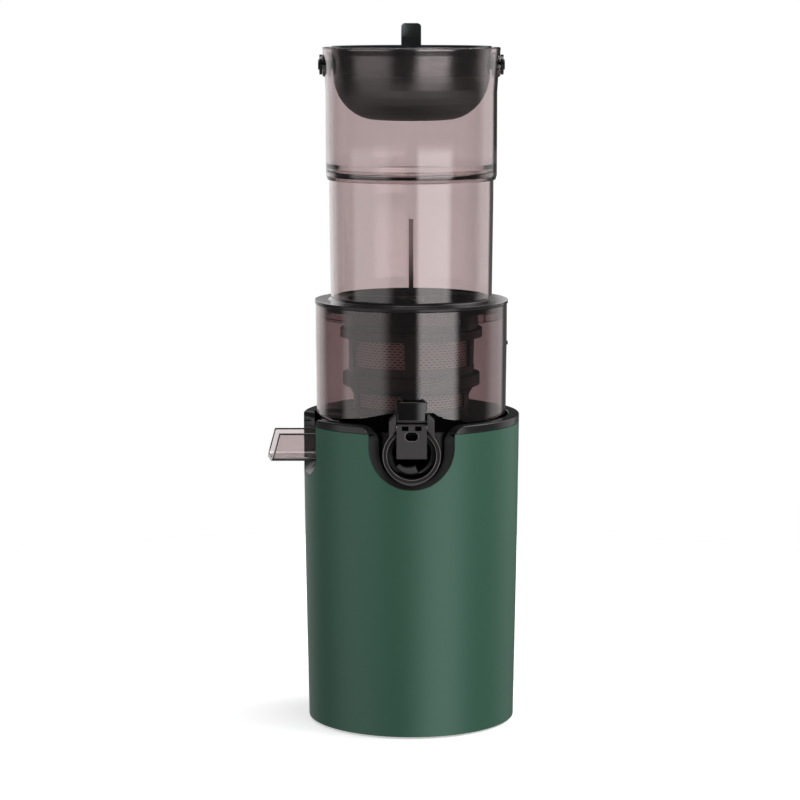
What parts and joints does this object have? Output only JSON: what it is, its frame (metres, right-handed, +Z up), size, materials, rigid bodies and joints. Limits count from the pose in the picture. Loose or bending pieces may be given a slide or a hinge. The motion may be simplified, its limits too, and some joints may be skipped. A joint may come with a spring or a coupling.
{
  "type": "vertical slow juicer",
  "caption": "Tall round slow juicer: motor base, clear juicing bowl with strainer and screw, lid with feed tube and hopper holding a tipping bucket, side spout and flapped outlet.",
  "frame": {"origin": "centre of the foot ring's underside, on the axis of the base and of the drive shaft", "axes": "+Z up along the drive shaft, -Y towards the round flapped outlet at the front, -X towards the juice spout"},
  "size_m": [0.1584, 0.142, 0.438],
  "materials": {
    "green_shell": "satin",
    "black_gloss": "semi-gloss",
    "black_matte": "fine texture",
    "black_rubber": "matte",
    "grey_rubber": "matte",
    "steel": "brushed",
    "cast_alloy": "as cast",
    "iron": "varnished laminations",
    "bronze": "sintered",
    "board_green": "solder mask",
    "board_parts": "moulded",
    "gear_plastic": "moulded nylon",
    "smoke_clear": "clear smoky plastic",
    "smoke_dark": "dark smoky plastic",
    "flap_grey": "satin",
    "mesh_steel": "etched mesh"
  },
  "bodies": {
    "base": {"outer_shell": "green_shell", "collar": "black_gloss", "deck": "black_matte", "base_plate": "black_matte", "foot_ring": "black_rubber", "base_screws": "steel", "gearbox_case": "cast_alloy", "gearbox_cover": "cast_alloy", "gearbox_screws": "steel", "motor_case": "steel", "motor_endcap": "black_matte", "stator": "iron", "motor_bearings": "steel", "control_board": "board_green", "board_parts": "board_parts", "switch_frame": "black_matte", "cord_gland": "black_rubber", "shaft_seal": "black_rubber", "shaft_bush": "bronze", "idler_pin": "steel"},
    "motor": {"rotor": "iron", "motor_shaft": "steel", "motor_pinion": "steel"},
    "idler": {"idler_gear": "gear_plastic"},
    "drive": {"drive_gear": "gear_plastic", "drive_shaft": "steel"},
    "switch": {"rocker": "black_gloss"},
    "bowl_unit": {"bowl": "smoke_clear", "bowl_floor": "black_gloss", "bowl_base": "black_gloss", "juice_spout": "smoke_clear", "outlet_ring": "black_gloss", "outlet_sleeve": "black_rubber", "outlet_bracket": "smoke_dark", "flap_pin": "steel", "strainer_frame": "black_gloss", "strainer_mesh": "mesh_steel", "bowl_seal": "grey_rubber"},
    "flap": {"outlet_flap": "flap_grey"},
    "screw": {"auger": "black_matte", "auger_insert": "steel"},
    "lid_unit": {"lid": "smoke_clear", "lid_gasket": "black_rubber", "feed_guide": "black_gloss", "hopper": "smoke_clear"},
    "gate": {"gate_bucket": "black_gloss", "gate_pins": "black_gloss"}
  },
  "joints": [
    {"name": "bowl_lift", "type": "slide", "parent": "base", "child": "bowl_unit", "axis": [0, 0, 1], "range_m": [0, 0.12]},
    {"name": "lid_lift", "type": "slide", "parent": "bowl_unit", "child": "lid_unit", "axis": [0, 0, 1], "range_m": [0, 0.08]},
    {"name": "gate_swing", "type": "hinge", "parent": "lid_unit", "child": "gate", "pos_m": [0, 0, 0.4128], "axis": [1, 0, 0], "range_deg": [0, 125]},
    {"name": "flap_swing", "type": "hinge", "parent": "bowl_unit", "child": "flap", "pos_m": [0, -0.069, 0.195], "axis": [-1, 0, 0], "range_deg": [0, 85]},
    {"name": "drive_spin", "type": "hinge", "parent": "base", "child": "drive", "pos_m": [0, 0, 0.12], "axis": [0, 0, 1], "continuous": true},
    {"name": "motor_spin", "type": "hinge", "parent": "base", "child": "motor", "pos_m": [0, 0, 0.05], "axis": [0, 0, 1], "continuous": true},
    {"name": "idler_spin", "type": "hinge", "parent": "base", "child": "idler", "pos_m": [0.03, 0, 0.11], "axis": [0, 0, 1], "continuous": true},
    {"name": "screw_spin", "type": "hinge", "parent": "bowl_unit", "child": "screw", "pos_m": [0, 0, 0.22], "axis": [0, 0, 1], "continuous": true},
    {"name": "switch_rock", "type": "hinge", "parent": "base", "child": "switch", "pos_m": [0, 0.06216, 0.12], "axis": [1, 0, 0], "range_deg": [-8, 8]}
  ],
  "couplings": [
    {"joint": "idler_spin", "follows": "motor_spin", "ratio": -0.33333},
    {"joint": "drive_spin", "follows": "motor_spin", "ratio": 0.11111},
    {"joint": "screw_spin", "follows": "motor_spin", "ratio": 0.11111}
  ]
}
